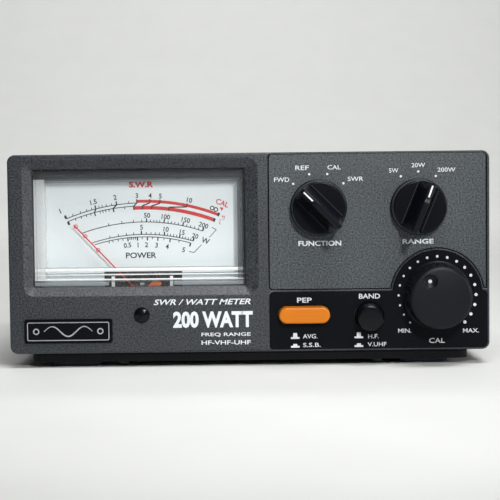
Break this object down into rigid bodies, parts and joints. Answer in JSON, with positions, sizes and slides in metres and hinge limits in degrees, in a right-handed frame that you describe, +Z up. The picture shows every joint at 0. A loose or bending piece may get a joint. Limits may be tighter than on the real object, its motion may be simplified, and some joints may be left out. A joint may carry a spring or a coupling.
{
  "type": "swr meter",
  "caption": "Desktop SWR and power meter for amateur radio: wide boxed case, panel meter with a red needle, pointer switches, a calibration knob, push switches and rear coaxial sockets.",
  "frame": {"origin": "centre of the footprint, on the plane the feet stand on", "axes": "+X to the right of the front panel, +Y from the front panel to the sockets, +Z up"},
  "size_m": [0.15, 0.133, 0.0668],
  "materials": {
    "panel_plastic": "fine matt grain",
    "plate_grey": "satin with fine grain",
    "plate_black": "satin with fine grain",
    "case_black": "fine textured powder coat",
    "badge_black": "gloss",
    "foot_rubber": "matt",
    "screw_black": "black zinc",
    "screw_bright": "bright zinc",
    "housing_black": "moulded satin",
    "clear_cover": "clear moulded acrylic",
    "dial_white": "matt white",
    "needle_red": "satin red",
    "steel": "turned",
    "copper_wire": "enamelled winding",
    "spring_bronze": "drawn",
    "magnet": "ground",
    "yoke_iron": "dark plated",
    "brass_parts": "turned",
    "nickel": "bright nickel",
    "screw_plastic": "moulded",
    "lamp_glass": "clear",
    "knob_black": "fine satin",
    "switch_case": "moulded phenolic",
    "pot_case": "plated",
    "cap_orange": "satin",
    "cap_black": "satin",
    "plunger_white": "moulded",
    "switch_black": "moulded",
    "board_green": "solder resist",
    "chip_black": "moulded",
    "trimmer_blue": "moulded",
    "die_cast": "die cast",
    "ferrite": "sintered",
    "insulator": "turned",
    "lead_red": "insulated wire"
  },
  "bodies": {
    "case": {"front_bezel": "panel_plastic", "control_plate": "plate_grey", "switch_plate": "plate_black", "badge_plate": "badge_black", "chassis": "case_black", "top_cover": "case_black", "rear_panel": "case_black", "feet": "foot_rubber", "case_screws": "screw_black", "meter_housing": "housing_black", "meter_cover": "clear_cover", "dial_plate": "dial_white", "dial_screws": "screw_bright", "core_magnet": "magnet", "magnet_supports": "brass_parts", "yoke_ring": "yoke_iron", "meter_bridges": "nickel", "jewel_screws": "brass_parts", "meter_terminals": "brass_parts", "dial_lamps": "lamp_glass", "meter_screws": "screw_bright", "switch_frames": "steel", "switch_cases": "switch_case", "cal_pot": "pot_case", "shaft_nuts": "nickel", "shaft_washers": "screw_bright", "pep_spring": "steel", "band_spring": "steel", "push_switches": "switch_black", "control_board": "board_green", "board_chips": "chip_black", "board_trimmers": "trimmer_blue", "sensor_boxes": "die_cast", "sensor_lids": "die_cast", "sensor_boards": "board_green", "sensor_lines": "brass_parts", "sensor_ring": "ferrite", "uhf_sockets": "nickel", "n_sockets": "nickel", "socket_insulators": "insulator", "socket_contacts": "brass_parts", "socket_screws": "screw_bright", "dc_jack": "switch_black", "internal_leads": "lead_red"},
    "needle_movement": {"needle": "needle_red", "needle_staff": "steel", "moving_coil": "copper_wire", "hairsprings": "spring_bronze"},
    "zero_regulator": {"zero_lever": "nickel"},
    "zero_adjuster": {"zero_screw": "screw_plastic"},
    "function_control": {"function_knob": "knob_black", "function_spindle": "steel"},
    "range_control": {"range_knob": "knob_black", "range_spindle": "steel"},
    "cal_control": {"cal_knob": "knob_black", "cal_spindle": "steel"},
    "pep_button": {"pep_cap": "cap_orange", "pep_plunger": "plunger_white"},
    "band_button": {"band_cap": "cap_black", "band_plunger": "plunger_white"}
  },
  "joints": [
    {"name": "needle_swing", "type": "hinge", "parent": "case", "child": "needle_movement", "pos_m": [-0.0338, -0.0515, 0.0216], "axis": [0, 1, 0], "range_deg": [0, 88], "stiffness_Nm_per_rad": 0.0005, "springref_deg": -1.72, "deforming": ["hairsprings"]},
    {"name": "zero_screw_turn", "type": "hinge", "parent": "case", "child": "zero_adjuster", "pos_m": [-0.0338, -0.0515, 0.0164], "axis": [0, 1, 0], "range_deg": [-25, 25]},
    {"name": "zero_lever_swing", "type": "hinge", "parent": "case", "child": "zero_regulator", "pos_m": [-0.0338, -0.0515, 0.0216], "axis": [0, 1, 0], "range_deg": [-4.6, 4.6]},
    {"name": "function_turn", "type": "hinge", "parent": "case", "child": "function_control", "pos_m": [0.0217, -0.0515, 0.0495], "axis": [0, 1, 0], "range_deg": [0, 90]},
    {"name": "range_turn", "type": "hinge", "parent": "case", "child": "range_control", "pos_m": [0.0528, -0.0515, 0.0495], "axis": [0, 1, 0], "range_deg": [-52.5, 7.5]},
    {"name": "cal_turn", "type": "hinge", "parent": "case", "child": "cal_control", "pos_m": [0.0586, -0.0515, 0.0218], "axis": [0, 1, 0], "range_deg": [-101, 169]},
    {"name": "pep_press", "type": "slide", "parent": "case", "child": "pep_button", "axis": [0, 1, 0], "range_m": [0, 0.0026], "stiffness_N_per_m": 600, "springref_m": -0.0008, "deforming": ["pep_spring"]},
    {"name": "band_press", "type": "slide", "parent": "case", "child": "band_button", "axis": [0, 1, 0], "range_m": [0, 0.0026], "stiffness_N_per_m": 600, "springref_m": -0.0008, "deforming": ["band_spring"]}
  ],
  "couplings": [
    {"joint": "zero_lever_swing", "follows": "zero_screw_turn", "ratio": -0.18182}
  ]
}
